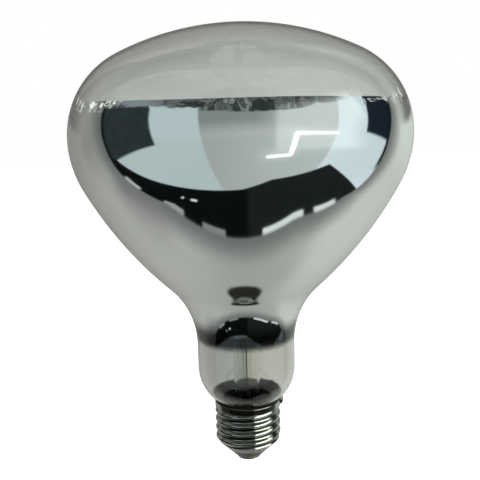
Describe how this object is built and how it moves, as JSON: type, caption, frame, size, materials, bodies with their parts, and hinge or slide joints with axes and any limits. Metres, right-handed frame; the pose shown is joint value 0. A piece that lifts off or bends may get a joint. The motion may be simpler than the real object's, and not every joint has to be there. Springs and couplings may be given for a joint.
{
  "type": "infrared heat lamp bulb",
  "caption": "Clear reflector heat lamp bulb with a mirrored funnel, a glass stem with its filament mount, and a screw cap.",
  "frame": {"origin": "centre of the flat at the tip of the screw cap", "axes": "+Z along the lamp's axis from the cap's tip towards the face, +X towards the solder at the cap's rim"},
  "size_m": [0.127, 0.127, 0.1706],
  "materials": {
    "clear_glass": "clear and polished",
    "stem_glass": "clear and polished",
    "mirror_film": "mirror",
    "nickel_wire": "drawn wire",
    "seal_wire": "red oxide in the glass",
    "tungsten": "drawn wire",
    "plated_shell": "bright nickel plating",
    "black_glass": "opaque gloss",
    "contact_brass": "dull",
    "solder": "cast, slightly dull",
    "cement": "matt"
  },
  "bodies": {
    "root": {"glass_envelope": "clear_glass", "stem_flare": "stem_glass", "exhaust_tube": "stem_glass", "arbor_rod": "stem_glass", "reflector_coating": "mirror_film", "lead_wire_left": "nickel_wire", "lead_wire_right": "nickel_wire", "outer_lead_side": "nickel_wire", "outer_lead_centre": "nickel_wire", "seal_wire_left": "seal_wire", "seal_wire_right": "seal_wire", "filament": "tungsten", "support_wire_1": "tungsten", "support_wire_2": "tungsten", "support_wire_3": "tungsten", "support_wire_4": "tungsten", "screw_shell": "plated_shell", "cap_insulator": "black_glass", "centre_contact": "contact_brass", "centre_solder": "solder", "side_solder": "solder", "basing_cement": "cement"}
  },
  "joints": []
}
